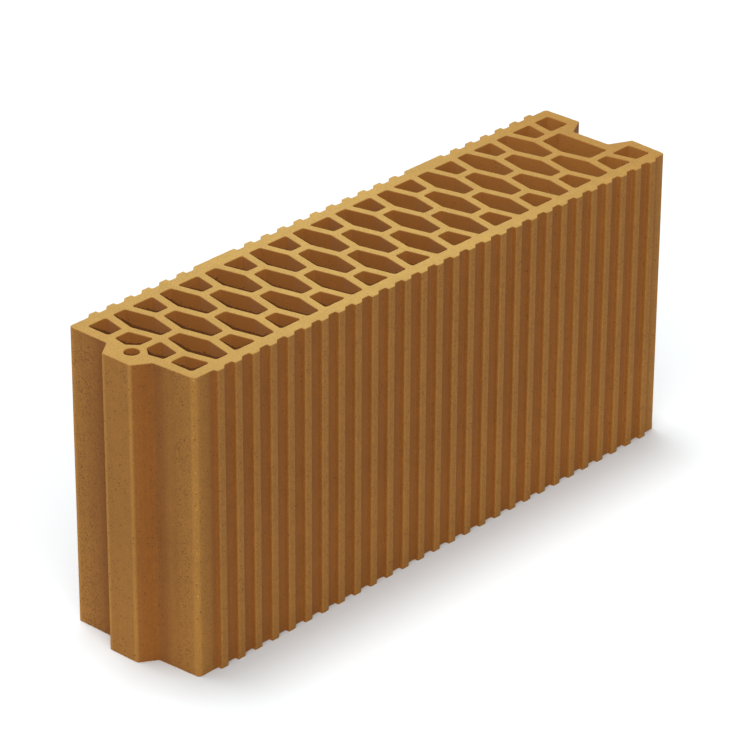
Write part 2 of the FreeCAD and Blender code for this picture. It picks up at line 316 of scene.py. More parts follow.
last_column = FIRST_CELL + CELL_STEP * (COLUMNS - 1)
wide_column = last_column + CELL_STEP / 2
corner_column = last_column + CELL_STEP
floor_wall = groove_floor - END_WALL
corner_wall = GROOVE_END - END_WALL
corner_inner = corner_column - WAIST_HALF + CELL_SLANT * (SHORT_START - OUTER_WAIST)
wide_cell = [(wide_column - WAIST_HALF, 0, WAIST_RADIUS), *rounded_cell(
    (wide_column - TIP_HALF, CELL_HALF), (floor_wall, CELL_HALF),
    (floor_wall, -CELL_HALF), (wide_column - TIP_HALF, -CELL_HALF))]
corner_cell = rounded_cell((corner_inner, SHORT_START), (corner_column - TIP_HALF, CELL_REACH),
                           (corner_wall, CELL_REACH), (corner_wall, SHORT_START))

holes += [outer_end_cell, mirrored(outer_end_cell), inner_end_cell, mirrored(inner_end_cell),
          wide_cell, corner_cell, mirrored(corner_cell)]
hole_outlines = [with_even_runs(turned(hole), INSIDE_STEP) for hole in holes]

round_steps = [-2 * math.pi * step / HOLE_POINTS for step in range(HOLE_POINTS)]
hole_outlines.append(np.array([(hole_x + HOLE_RADIUS * math.cos(angle), HOLE_RADIUS * math.sin(angle))
                               for angle in round_steps]))
print(len(hole_outlines), "holes,", sum(map(len, hole_outlines)), "points")

# %% [markdown]
# ## How sheltered each place of the outline is
# The hollows between ribs and beside the tongue get less light than what stands proud, so they
# look darker and redder. That shade is painted into the clay's colour, as a painter would brush it
# in. How much shade each place gets is measured: from each point of the outline, rays fan out over
# the section, and the share of them that meets clay again is the point's shelter, from 0, open, to
# 1, closed.

# %% Measure the shelter
SHELTER_REACH = 40.0
RAYS = 40
FAN = [math.asin((2 * ray + 1) / RAYS - 1) for ray in range(RAYS)]
JUST_OUTSIDE = 0.02       # a ray starts this far off its wall
NO_CROSSING = 1e-9        # below this, a ray and a run count as parallel
OWN_START = 1e-6          # nearer than this, a ray has only met its own start
LEAST_COSINE = 0.5        # holds back how far a sharp corner's point moves


def left_normals(points):
    """Unit normals into the clay, and how far a corner's point must move for a unit inset."""
    ahead = np.roll(points, -1, axis=0) - points
    ahead /= np.linalg.norm(ahead, axis=1, keepdims=True)
    sideways = np.stack([-ahead[:, 1], ahead[:, 0]], axis=1)
    before = np.roll(sideways, 1, axis=0)
    mean = sideways + before
    mean /= np.linalg.norm(mean, axis=1, keepdims=True)
    return mean, 1 / np.maximum((mean * sideways).sum(axis=1), LEAST_COSINE)


def free_length(points, into_clay, ray):
    """How far a ray from just outside each outline point runs before it meets the outline."""
    run = np.roll(points, -1, axis=0) - points
    gap = points[None] - (points - into_clay * JUST_OUTSIDE)[:, None]
    cross = ray[:, None, 0] * run[None, :, 1] - ray[:, None, 1] * run[None, :, 0]
    cross = np.where(abs(cross) < NO_CROSSING, NO_CROSSING, cross)
    along_ray = (gap[..., 0] * run[None, :, 1] - gap[..., 1] * run[None, :, 0]) / cross
    along_run = (gap[..., 0] * ray[:, None, 1] - gap[..., 1] * ray[:, None, 0]) / cross
    met = (along_ray > OWN_START) & (along_run >= 0) & (along_run <= 1)
    return np.where(met, along_ray, np.inf).min(axis=1)


def shelter_of(points):
    """For each outline point, the share of rays over the section that meet the outline again."""
    into_clay, _ = left_normals(points)
    total = np.zeros(len(points))
    for angle in FAN:
        cos, sin = math.cos(angle), math.sin(angle)
        ray = -np.stack([into_clay[:, 0] * cos - into_clay[:, 1] * sin,
                         into_clay[:, 0] * sin + into_clay[:, 1] * cos], axis=1)
        total += free_length(points, into_clay, ray) < SHELTER_REACH
    return total / RAYS


outline_shelter = shelter_of(outline)
print(f"shelter from {outline_shelter.min():.2f} to {outline_shelter.max():.2f}")

# %% [markdown]
# ## How far light gets down a cell
# Slanting light lights a cell's wall only down to where the arris on the other side stands in its
# way, so in the photo each cell turns dark along a line that follows its near arris. How deep that
# line lies depends on how wide the cell is in the light's direction, so that width is measured at
# each point. Walls that face the other way are measured the other way, as if lit from behind.

# %% Measure the cells' widths
ACROSS = np.array((0.742, 0.670))     # level, along the photo's view


def width_of(points):
    """For each point of a cell's outline, how far it is to the other side."""
    into_clay, _ = left_normals(points)
    inwards = -np.sign(into_clay @ ACROSS)
    return free_length(points, into_clay, inwards[:, None] * ACROSS)


hole_widths = [width_of(points) for points in hole_outlines]
print(f"widest place across a cell: {max(widths.max() for widths in hole_widths):.1f} mm")

# %% [markdown]
# ## Where each arris catches the light
# Arrises that stand proud catch the light, and a painted highlight makes them paler: most at the
# block's four corners and the tongue's edges, a little along the ribs. Each such corner of the
# outline lights the points near it, a little more on the end faces and the ribs' crests. At the
# big corners it also reaches faintly further along.

# %% Measure the painted highlight
HIGHLIGHT_BY_RADIUS = {       # how much, how far, shifted how far, along which axis
    CORNER_RADIUS: (0.96, 3.5, 1.0, 1),
    JOINT_RADIUS: (0.9, 1.8, 0.8, 1),
    STEEP_CREST_RADIUS: (0.35, 0.9, 0.8, 0),
}
FAR_HIGHLIGHT, FAR_SHARE = 9.0, 0.3     # how far the big corners' faint painted highlight reaches, and its share


def ways_from(corners, index):
    """The outline's directions from a corner, back and ahead."""
    here = Vector(corners[index][:2])
    return [(Vector(corners[other % len(corners)][:2]) - here).normalized()
            for other in (index - 1, index + 1)]


def highlight_of(points, corners):
    """For each outline point, how strong the nearest corners' painted highlight is, from 0 to 1."""
    highlight = np.zeros(len(points))
    for index, (x, y, radius) in enumerate(corners):
        back, ahead = ways_from(corners, index)
        if radius not in HIGHLIGHT_BY_RADIUS or back.cross(ahead) > 0:
            continue      # another kind of corner, or one that turns inwards
        amount, reach, shift, axis = HIGHLIGHT_BY_RADIUS[radius]
        centre = Vector((x, y)) + shift * max(back, ahead, key=lambda way: abs(way[axis]))
        distance = np.linalg.norm(points - centre, axis=1)
        near = np.exp(-(distance / reach) ** 4)
        far = FAR_SHARE * np.exp(-(distance / FAR_HIGHLIGHT) ** 2) * (radius == CORNER_RADIUS)
        highlight = np.maximum(highlight, amount * np.maximum(near, far))
    return highlight


outline_highlight = highlight_of(outline, outline_corners)
print(f"rubbed places: {int((outline_highlight > 0.5).sum())} of {len(outline)} points")

# %% [markdown]
# ## Where a warm shade is painted
# The photo shows the ribs' steep flanks and the tongue's slanted sides more orange than the floors
# between the ribs. That is light thrown back and forth between the clay walls, and here it is
# painted into the colour as a darker, warmer shade. Shelter can't tell a flank from a floor, so
# these are listed as short runs of the section, and each point of the outline is marked by how
# near it lies to one.

# %% Mark the runs of painted warm shade
FLANK_FADE, SLANT_FADE = 0.8, 4.4
ORANGE_SHELTER = 0.2      # places more open than this take less of it
VALLEY_START = 0.3        # the slants' painted warm shade starts this far inside the end face
VALLEY_EDGE = 1.5         # and is full this far further out


def near_run(start, end, fade):
    """How near each outline point lies to a straight run, from 0 to 1."""
    run = np.subtract(end, start)
    share = np.clip((outline - start) @ run / (run @ run), 0, 1)
    distance = np.linalg.norm(outline - start - share[:, None] * run, axis=1)
    return np.exp(-(distance / fade) ** 2)


flanks = [(first - RIB_LEAD, 1) for first, _ in strips([])]
flanks += [(last + RIB_LEAD, -1) for _, last in strips(BAND_RIBS)]
outline_warm_shade = np.zeros(len(outline))
for x, side in flanks:
    flank = near_run((x, -side * SIDE), (x, -side * (RIB_FACE - STEEP_CREST_RADIUS)), FLANK_FADE)
    outline_warm_shade = np.maximum(outline_warm_shade, flank)
outline_warm_shade *= np.clip(outline_shelter / ORANGE_SHELTER, 0, 1)

slants = [(Vector((TONGUE_END, side * TONGUE_ROOT_HALF)), Vector((TONGUE_FACE, side * TONGUE_TIP_HALF)))
          for side in (-1, 1)]
for root, tip in slants:
    slant = near_run(root, root.lerp(tip, 0.5), SLANT_FADE)
    slant *= np.clip((TONGUE_END + VALLEY_START - outline[:, 0]) / VALLEY_EDGE, 0, 1)
    outline_warm_shade = np.maximum(outline_warm_shade, slant)
print(f"orange places: {int((outline_warm_shade > 0.5).sum())} of {len(outline)} points")

# %% [markdown]
# ## Where more shade or light is painted
# The valleys beside the tongue and the wide flat beside a corner get more painted shade than their
# shelter alone gives them, and the tongue's face, a strip of its slants and the end faces near
# their corners get a painted light. These runs are marked in the same way. Where two of them meet,
# the stronger one counts.

# %% Mark the shaded and the lighter runs
FACE_MARGIN = 4.5         # the tongue's lighter middle stays this far from its edges
VALLEY_SHADE = 7.0        # how far a valley's shade reaches along the end face
CORNER_LIGHT = 15, 4      # where a painted light makes the end face lighter, inwards from its corners
FLAT_SHADE = 11, 18       # where a painted shade makes the wide flat darker, from its corner

face_edge = TONGUE_TIP_HALF - FACE_MARGIN
shaded_runs = [           # start, end, fade, and the share of light added
    ((TONGUE_FACE, -face_edge), (TONGUE_FACE, face_edge), 1.5, 0.070),
]
for side, (root, tip) in zip((-1, 1), slants):
    valley_end = TONGUE_END, side * (TONGUE_ROOT_HALF + VALLEY_SHADE)
    light_from, light_to = [(TONGUE_END, side * (SIDE - inwards)) for inwards in CORNER_LIGHT]
    flat_from, flat_to = [(side * (TONGUE_END + inwards), -side * SIDE) for inwards in FLAT_SHADE]
    shaded_runs += [
        (root, root.lerp(tip, 0.5), 1.5, -0.060),
        (tip.lerp(root, 0.14), tip.lerp(root, 0.22), 1.2, 0.080),
        (root, valley_end, 3.0, -0.065),
        (light_from, light_to, 3.0, 0.050),
        (flat_from, flat_to, 3.0, -0.060),
    ]
outline_shade = np.zeros(len(outline))
for start, end, fade, amount in shaded_runs:
    mark = amount * near_run(start, end, fade)
    outline_shade = np.where(abs(mark) > abs(outline_shade), mark, outline_shade)
print(f"shaded places: {int((outline_shade < -0.02).sum())},",
      f"lighter ones: {int((outline_shade > 0.02).sum())}")

# %% [markdown]
# ## Stacking the section into walls
# Each level is the whole section again, a little higher. At the top and the bottom, a few levels
# close together are drawn into the clay by less and less, which rounds the arris that the cutting
# wire leaves. Its size wanders, as on the real cut, because clay crumbles unevenly. Between them,
# levels every couple of centimetres let the walls be slightly uneven, always into the clay, so the
# block never grows out of its own box.

# %% Levels and their unevenness
ARRIS = 0.55              # mean size of the rounded arris
ARRIS_LEVELS = 3
ARRIS_WANDER = 0.45       # share by which it wanders
COARSE, FINE = 4.5, 1.6   # patch sizes of the wandering
FINE_SHARE = 0.6
WALL_LEVELS = 9
UNEVEN = 0.12             # most that a wall lies inside its plane
WAVE_ACROSS, WAVE_UP = 28, 60


def arris_size(x, y):
    """The arris round a place on the cut, in millimetres."""
    coarse = noise.noise((x / COARSE, y / COARSE, 3.0))
    fine = noise.noise((x / FINE, y / FINE, 8.0))
    return ARRIS * (1 + ARRIS_WANDER * (coarse + FINE_SHARE * fine))


def unevenness(x, y, z):
    """How far a wall lies inside its true plane, in millimetres."""
    return UNEVEN * (0.5 + 0.5 * noise.noise((x / WAVE_ACROSS, y / WAVE_ACROSS, z / WAVE_UP)))


levels = []               # (share of the arris drawn in, share of it in height, place from end to end)
for step in range(ARRIS_LEVELS + 1):
    angle = math.pi / 2 * step / ARRIS_LEVELS
    levels.append((1 - math.sin(angle), 1 - math.cos(angle), 0.0))
for step in range(1, WALL_LEVELS):
    levels.append((0.0, 0.0, step / WALL_LEVELS))
for step in range(ARRIS_LEVELS, -1, -1):
    angle = math.pi / 2 * step / ARRIS_LEVELS
    levels.append((1 - math.sin(angle), 1 - math.cos(angle), 1.0))
print(len(levels), "levels")

# %% [markdown]
# ## Building the mesh
# bmesh makes one ring of vertices per level for each outline and joins neighbouring rings with
# quads. Seven measures stay on the vertices for the clay's finish: two say whether a place is cut
# or in a cell, four come from the outline, and one is the cell's width.

# %% Rings and walls
CUT_REACH = 0.7           # below 1, the cut's pale colour reaches further round the arris
MITRE_LIMIT = 1.3         # most that a corner's point moves for a unit inset
mesh_data = bmesh.new()
marks = {name: mesh_data.verts.layers.float.new(name)
         for name in ("cut_face", "cell_wall", "width", "shelter", "arris_highlight", "warm_shade", "shade")}


def height_of(share, drop, arris):
    """A level's height in millimetres."""
    if share == 0.0:
        return drop * arris
    if share == 1.0:
        return HEIGHT - drop * arris
    return HEIGHT * share


def stand_walls(points, measures, widths=None):
    """Stands walls over an outline, a cell's if it has widths. Returns its end rings' edges."""
    into_clay, reach = left_normals(points)
    arrises = [arris_size(x, y) for x, y in points]
    rings = []
    for inset, drop, share in levels:
        ring = []
        for index, (x, y) in enumerate(points):
            z = height_of(share, drop, arrises[index])
            moved = inset * arrises[index] + unevenness(x, y, z)
            x_in, y_in = np.array((x, y)) + into_clay[index] * moved * min(reach[index], MITRE_LIMIT)
            vertex = mesh_data.verts.new((x_in * MM, y_in * MM, z * MM))
            on_arris = 4 * inset * (1 - inset)
            vertex[marks["cut_face"]] = inset ** CUT_REACH
            if widths is not None:
                vertex[marks["cell_wall"]] = float(inset < 1.0)
                vertex[marks["width"]] = widths[index] * MM
            for name, values in measures.items():
                vertex[marks[name]] = 0.0 if inset == 1.0 else values[index]
            # the cut's own arris gets the painted highlight too
            vertex[marks["arris_highlight"]] = max(vertex[marks["arris_highlight"]], on_arris)
            ring.append(vertex)
        rings.append(ring)
    for lower, upper in zip(rings, rings[1:]):
        for index in range(len(points)):
            after = (index + 1) % len(points)
            mesh_data.faces.new((lower[index], lower[after], upper[after], upper[index]))
    return [[mesh_data.edges.get((ring[index], ring[(index + 1) % len(ring)]))
             for index in range(len(ring))] for ring in (rings[0], rings[-1])]


print("measures on each vertex:", ", ".join(marks))

# %% [markdown]
# ### Standing the walls and closing the ends
# The outside and every hole get their walls. A cut face is one flat sheet with 57 holes in it,
# which a single face can't be, so `triangle_fill` spans it between the end rings of all the walls.
# A closed mesh has two faces at each edge, and the last lines count the edges that don't.

# %% Walls and cut faces
outside = {"shelter": outline_shelter, "arris_highlight": outline_highlight, "warm_shade": outline_warm_shade,
           "shade": outline_shade}
cut_edges = [[], []]
for end, edges in enumerate(stand_walls(outline, outside)):
    cut_edges[end] += edges
for points, widths in zip(hole_outlines, hole_widths):
    for end, edges in enumerate(stand_walls(points, {"shelter": np.ones(len(points))}, widths)):
        cut_edges[end] += edges
for edges in cut_edges:
    bmesh.ops.triangle_fill(mesh_data, use_beauty=True, use_dissolve=False, edges=edges)
bmesh.ops.recalc_face_normals(mesh_data, faces=mesh_data.faces)

open_edges = sum(1 for edge in mesh_data.edges if len(edge.link_faces) != 2)
triangles = sum(len(face.verts) - 2 for face in mesh_data.faces)
print(f"{len(mesh_data.verts)} vertices, {triangles} triangles, {open_edges} open edges,",
      f"{mesh_data.calc_volume() * 1e6:.0f} cm3")

# %% [markdown]
# ## The block as an object
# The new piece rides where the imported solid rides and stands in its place. Smooth shading with a
# weighted normal keeps the flat walls flat beside the small arcs, which plain smoothing would
# bend.

# %% Make the piece
SHARP = math.radians(50)  # edges sharper than this stay hard
FLAT_WEIGHT = 90          # how strongly large faces lead the normals
clay_mesh = bpy.data.meshes.new("fired_block")
mesh_data.to_mesh(clay_mesh)
mesh_data.free()
clay_mesh.shade_smooth()
clay_mesh.set_sharp_from_angle(angle=SHARP)
fired_block = bpy.data.objects.new("fired_block", clay_mesh)
bpy.context.scene.collection.objects.link(fired_block)
flat_walls = fired_block.modifiers.new("flat_walls", "WEIGHTED_NORMAL")
flat_walls.weight = FLAT_WEIGHT
flat_walls.keep_sharp = True

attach(fired_block, "root")
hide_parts("clay_block")
print("piece:", fired_block.name)

# %% [markdown]
# ## Fired clay
# The finish is built from nodes that read the object's own coordinates, so its grain has a real
# size and sits still in every view. It works like a painter's layers: the skin of the die first,
# then the hollows in painted shade, the cell walls, the pale cut faces and the arrises with their
# painted highlight, and over them clouds of tone, sandy grain, dark pores and drag lines from the
# die. Laying nodes by hand takes many lines, so two small helpers do it: one fills a socket, one
# makes a node with its inputs.

# %% Make and link nodes
clay = bpy.data.materials.new("fired_clay_finish")
clay.use_nodes = True
tree = clay.node_tree
tree.nodes.clear()


def plug(socket, value):
    """Sets a socket to a number or a colour, or links it to another node's output."""
    if isinstance(value, bpy.types.NodeSocket):
        tree.links.new(value, socket)
    elif isinstance(value, tuple) and len(value) == 3 and socket.type == "RGBA":
        socket.default_value = (*value, 1.0)
    else:
        socket.default_value = value


def lay(kind, settings=None, **inputs):
    """A node with its settings and its inputs by name."""
    node = tree.nodes.new(kind)
    for name, value in (settings or {}).items():
        setattr(node, name, value)
    for name, value in inputs.items():
        plug(node.inputs[name.replace("_", " ")], value)
    return node


print("material:", clay.name)

# %% [markdown]
# ### Reading, reckoning and painting
# Four kinds of node do nearly all the work below: Attribute reads a measure from the mesh, Math
# reckons, Map Range stretches a range and Mix lays one colour over another. A function for each
# keeps a layer to a line or two.

# %% One function for each kind of node
def measure(name):
    """One of the measures that the mesh carries."""
    return lay("ShaderNodeAttribute", {"attribute_name": name}).outputs["Fac"]


def reckon(operation, first, second, clamp=False):
    """Arithmetic on two values."""
    node = lay("ShaderNodeMath", {"operation": operation, "use_clamp": clamp})
    plug(node.inputs[0], first)
    plug(node.inputs[1], second)
    return node.outputs[0]


def spread(value, low, high, to_low=0.0, to_high=1.0):
    """A value's range stretched to another, and held inside it."""
    node = lay("ShaderNodeMapRange", {"clamp": True})
    for socket, number in zip(node.inputs, (value, low, high, to_low, to_high)):
        plug(socket, number)
    return node.outputs["Result"]


def paint(under, over, amount):
    """One colour laid over another by an amount."""
    node = lay("ShaderNodeMix", {"data_type": "RGBA", "blend_type": "MIX", "clamp_factor": True})
    plug(node.inputs["Factor"], amount)
    plug(node.inputs[6], under)
    plug(node.inputs[7], over)
    return node.outputs[2]


print("helpers: measure, reckon, spread, paint")

# %% [markdown]
# ### Grain, clouds, drag lines and pores
# Noise gives the clouds and the sandy grain. Noise stretched up the block gives the die's drag
# lines. Pores are the centres of Voronoi cells, and each cell's random colour says whether it has
# one and how large, so they come in all sizes and never in rows.

# %% Patterns in the clay
PORE_EDGE = 9.0           # how steeply a pore ends
DRAG_STRETCH = 0.03       # share of the height that the drag lines' pattern sees
FRECKLED = 0.42, 0.60     # the cloud's range over which freckles gather
FEWEST_FRECKLES = 0.32    # share of them outside it
place = lay("ShaderNodeTexCoord").outputs["Object"]


def cloud(size, detail, roughness=0.5, where=place):
    """Noise whose patches are about a size across, in metres."""
    return lay("ShaderNodeTexNoise", Vector=where, Scale=1 / size, Detail=detail,
               Roughness=roughness).outputs["Fac"]


def pores(size, share, radius):
    """Dots in a share of Voronoi cells of a size, in metres. Radius is a share of the cell."""
    cells = lay("ShaderNodeTexVoronoi", Vector=place, Scale=1 / size, Randomness=1.0)
    chance = lay("ShaderNodeSeparateColor", Color=cells.outputs["Color"]).outputs[0]
    reach = spread(chance, 1 - share, 1.0, 0.0, radius)
    return reckon("MULTIPLY", reckon("SUBTRACT", reach, cells.outputs["Distance"]), PORE_EDGE, clamp=True)


stretched = lay("ShaderNodeMapping", Vector=place, Scale=(1.0, 1.0, DRAG_STRETCH)).outputs[0]
wide_clouds = cloud(size=0.070, detail=3.0)
small_clouds = cloud(size=0.009, detail=4.0, roughness=0.6)
sand = cloud(size=0.0013, detail=3.0, roughness=0.75)
drag_lines = cloud(size=0.0022, detail=2.0, roughness=0.6, where=stretched)
torn = cloud(size=0.0022, detail=2.0)
freckled = spread(cloud(size=0.012, detail=2.0), *FRECKLED, to_low=FEWEST_FRECKLES)

small_pores = pores(size=0.0026, share=0.45, radius=0.34)
large_pores = pores(size=0.0070, share=0.25, radius=0.19)
all_pores = reckon("MAXIMUM", small_pores, large_pores)
pale_grains = pores(size=0.0031, share=0.14, radius=0.20)
cut_flecks = pores(size=0.0021, share=0.30, radius=0.26)
specks = reckon("MULTIPLY", pores(size=0.0013, share=0.80, radius=0.52), freckled)
glints = pores(size=0.0019, share=0.32, radius=0.42)
cell_dots = pores(size=0.0028, share=0.35, radius=0.38)
print("patterns:", len(tree.nodes), "nodes")

# %% [markdown]
# ### The clay's colours
# The skin is tan, and a painted shade makes it red-brown where it is sheltered.
# The colours stand in one list, as linear red, green and blue, so that another kiln's clay is one
# change. They were set against the photo under this scene's light.

# %% The palette
SKIN = (0.343, 0.1515, 0.0318)
# painted shade for sheltered places
HOLLOW_SHADE = (0.296, 0.110, 0.0233)
# painted warm shade for the marked runs, as light thrown between clay walls gives it
FLANK_SHADE = (0.342, 0.122, 0.0200)
FLANK_SHADE_FAR = (0.390, 0.147, 0.0240)
CELL_WALL = (0.495, 0.184, 0.037)
# painted cooler shade for cell walls that face the back
CELL_BACK_SHADE = (0.480, 0.190, 0.052)
CELL_FAR = (0.639, 0.267, 0.056)
# painted light for the cells' ends that face the front
CELL_END_LIGHT = (0.545, 0.210, 0.041)
# painted shadow where light doesn't get down a cell
DEEP_CELL = (0.245, 0.087, 0.024)
CUT = (0.575, 0.370, 0.110)
CUT_END = (0.474, 0.263, 0.067)
CUT_FLECK = (0.400, 0.175, 0.052)
# painted highlight for the arrises
ARRIS_HIGHLIGHT = (0.450, 0.214, 0.0435)
# painted glints for the most highlighted corners
GLINT = (0.68, 0.41, 0.11)
PALE_GRAIN = (0.60, 0.36, 0.13)
PORE = (0.145, 0.053, 0.0145)
SPECK = (0.21, 0.080, 0.018)
print(f"the cut gives back {CUT[1] / SKIN[1]:.1f} times as much green as the skin")

# %% [markdown]
# ### What the mesh says about each place
# The measures on the vertices come back into the nodes by their names. The object's own
# coordinates give the place along the block and the height, and its normal says which way a
# cell's wall faces. So each layer below knows where it is without any painted mask.

# %% Read the measures
cut_face, cell_wall = measure("cut_face"), measure("cell_wall")
shelter, arris_highlight = measure("shelter"), measure("arris_highlight")
warm_shade, shade = measure("warm_shade"), measure("shade")
width = measure("width")
along, _, height = lay("ShaderNodeSeparateXYZ", Vector=place).outputs
normal = lay("ShaderNodeTexCoord").outputs["Normal"]
facing = lay("ShaderNodeSeparateXYZ", Vector=normal).outputs[1]
from_middle = reckon("ABSOLUTE", along, 0.0)
print("measures read:", ", ".join(marks))

# %% [markdown]
# ### The skin
# The die leaves a closed, warm tan skin. A painted shade makes it darker and redder in shelter,
# and on the marked runs a darker orange, a little lighter towards the groove. Each colour is laid
# over the last by an amount from 0 to 1, as a painter glazes, because that keeps the soft changes
# between them.

# %% Skin
HOLLOW_FROM, HOLLOW_FULL = 0.02, 0.115    # shelter
LIGHTER_FROM, LIGHTER_FULL = 0.05, 0.17   # along the block
# painted shade: darker and redder by how sheltered a place is
hollow_shade = spread(shelter, HOLLOW_FROM, HOLLOW_FULL)
# painted warm shade on the marked runs, a little lighter towards the groove
flank = paint(FLANK_SHADE, FLANK_SHADE_FAR, spread(along, LIGHTER_FROM, LIGHTER_FULL))
skin = paint(paint(SKIN, HOLLOW_SHADE, hollow_shade), flank, warm_shade)
print("skin:", len(tree.nodes), "nodes so far")

# %% [markdown]
# ### Inside the cells
# The cells' walls are a smooth red-brown, lighter towards the groove. A painted shade makes them
# greyer where they face the back, and a painted light makes the ends that face the front lighter.
# Below where slanting light gets they turn dark, with a ragged edge and a few dark dots above it.
# A real light would need a far darker room to do this, so the dark is painted shadow in the finish.
# It is measured from the nearer end, so that it looks the same when the block is turned over.

# %% Cell walls
LIGHT_SLOPE = 0.476       # how far light gets down a middle cell for each metre of its width
SLOPE_GAIN = 0.146        # how much that grows for each metre towards the groove
RAGGED = 0.0004           # how far the dark's edge wanders up and down
DARK_EDGE = 0.0001        # how soft it is
DOTS_FROM, DOTS_FULL = -0.0024, -0.0008   # how far above it the dots begin, and are full
BACK_SHADE_FACING = 0.08, 0.2   # the normal's Y from which a wall takes the painted grey shade, and where it is full
FAR_ALONG = 0.02, 0.26    # the same for the lighter tone along the block
END_LIGHT_FACING = -0.8, -0.4   # and for the painted light on the cells' ends that face the front, which fades out

light_slope = reckon("ADD", reckon("MULTIPLY", along, SLOPE_GAIN), LIGHT_SLOPE)
dark_from = reckon("MULTIPLY", width, light_slope)
depth = reckon("MINIMUM", height, reckon("SUBTRACT", HEIGHT * MM, height))
past_edge = reckon("SUBTRACT", depth, dark_from)
ragged = reckon("ADD", past_edge, spread(torn, 0.3, 0.7, -RAGGED, RAGGED))
dark_dots = reckon("MULTIPLY", cell_dots, spread(past_edge, DOTS_FROM, DOTS_FULL))
dark = reckon("MAXIMUM", spread(ragged, 0.0, DARK_EDGE), dark_dots)

inside = paint(CELL_WALL, CELL_BACK_SHADE, spread(facing, *BACK_SHADE_FACING))
inside = paint(inside, CELL_FAR, spread(along, *FAR_ALONG))
inside = paint(inside, CELL_END_LIGHT, spread(facing, *END_LIGHT_FACING, to_low=1.0, to_high=0.0))
inside = paint(inside, DEEP_CELL, dark)
print("cell walls:", len(tree.nodes), "nodes so far")

# %% [markdown]
# ### Highlighted arrises and cut faces
# A painted highlight makes the arrises paler. The cut faces never had a skin, and are palest near
# the middle of the block, darker towards its ends. They come last, so that the cut covers the
# arris that it leaves.

# %% Highlights and cut
PALEST_X = -0.052         # where along the block the cut face is palest
PALE_REACH = 0.290
from_palest = reckon("ADD", along, -PALEST_X)
cut_tone = spread(reckon("MULTIPLY", from_palest, from_palest), 0.0, PALE_REACH ** 2)
colour = paint(paint(skin, inside, cell_wall), ARRIS_HIGHLIGHT, arris_highlight)
colour = paint(colour, paint(CUT, CUT_END, cut_tone), cut_face)
print("rubbed and cut:", len(tree.nodes), "nodes so far")

# %% [markdown]
# ### Tone
# Clay is never one even colour: there are clouds from the kiln, small clouds, sand and the die's
# drag lines. Each adds a share of light, more or less, and one node applies their sum. A painted
# light makes the skin a little lighter towards its foot, where the shadowed floor throws less light
# up onto it, the marked runs add their painted shade and light, and the cells' walls are smoother
# than the rest.

# %% Tone
WIDE_TONE, SMALL_TONE, SAND_TONE, DRAG_TONE = 0.03, 0.045, 0.17, 0.03
CELL_TONE = 0.35          # share of these that shows in the cells
FOOT_LIGHT = 0.09           # how much the painted light lightens the skin at the bed
LIFT_TOP = 0.10           # the height where that ends


def swing(pattern, amount):
    """A noise pattern's usual range stretched from minus an amount to plus it."""
    return spread(pattern, 0.3, 0.7, -amount, amount)


tone = reckon("ADD", swing(wide_clouds, WIDE_TONE), swing(small_clouds, SMALL_TONE))
tone = reckon("ADD", tone, swing(sand, SAND_TONE))
tone = reckon("ADD", tone, swing(drag_lines, DRAG_TONE))
tone = reckon("MULTIPLY", tone, spread(cell_wall, 0.0, 1.0, to_low=1.0, to_high=CELL_TONE))
# painted light at the foot, where the shadowed floor throws less light up
painted_foot_light = spread(height, 0.0, LIFT_TOP, to_low=FOOT_LIGHT, to_high=0.0)
out_of_cells = spread(cell_wall, 0.0, 1.0, to_low=1.0, to_high=0.0)
tone = reckon("ADD", tone, reckon("MULTIPLY", painted_foot_light, out_of_cells))
# the marked runs' painted shade and painted light
tone = reckon("ADD", tone, shade)
colour = lay("ShaderNodeHueSaturation", Value=reckon("ADD", tone, 1.0), Color=colour).outputs[0]
print("tone:", len(tree.nodes), "nodes so far")

# %% [markdown]
# ### Pores, freckles and painted glints
# Small marks come last, over every tone. Dark pores and a few pale grains lie everywhere. Dark
# freckles lie on the open skin, and gather on the end faces, but not on the tongue. Pale painted
# glints dot the corners with the strongest painted highlight, and red flecks the cut. All are
# patterns in the clay's own coordinates, which costs nothing in the mesh, where such small dents
# would need millions of faces.

# %% Small marks
GRAIN_SHOWS, FLECK_SHOWS = 0.35, 0.45
PORE_SHOWS, SMOOTH_PORE_SHOWS = 0.50, 0.10        # on the skin, and on the cut and in the cells
END_FACE = 0.2462, 0.2478                         # from the middle: where the end faces begin
TONGUE = 0.2565, 0.2615                           # and the tongue's outer part
END_GAIN, TONGUE_LOSS = 1.9, 1.5
OPEN_SKIN = 0.9
GLINT_FROM = 0.90, 0.95                              # how strong a place's painted highlight has to be

colour = paint(colour, PALE_GRAIN, reckon("MULTIPLY", pale_grains, GRAIN_SHOWS))
smooth = reckon("MAXIMUM", cut_face, cell_wall)
pores_show = spread(smooth, 0.0, 1.0, to_low=PORE_SHOWS, to_high=SMOOTH_PORE_SHOWS)
colour = paint(colour, PORE, reckon("MULTIPLY", all_pores, pores_show))
not_skin = reckon("MAXIMUM", reckon("MAXIMUM", hollow_shade, cut_face), cell_wall)
not_skin = reckon("MAXIMUM", not_skin, arris_highlight)
end_gain = spread(from_middle, *END_FACE, to_low=1.0, to_high=END_GAIN)
tongue_loss = spread(from_middle, *TONGUE, to_high=TONGUE_LOSS)
freckles = reckon("MULTIPLY", specks, reckon("SUBTRACT", end_gain, tongue_loss))
freckles_show = reckon("SUBTRACT", OPEN_SKIN, not_skin, clamp=True)
colour = paint(colour, SPECK, reckon("MULTIPLY", freckles, freckles_show))
colour = paint(colour, GLINT, reckon("MULTIPLY", glints, spread(arris_highlight, *GLINT_FROM)))
flecks_show = reckon("MULTIPLY", cut_face, FLECK_SHOWS)
colour = paint(colour, CUT_FLECK, reckon("MULTIPLY", cut_flecks, flecks_show))
print("small marks:", len(tree.nodes), "nodes so far")

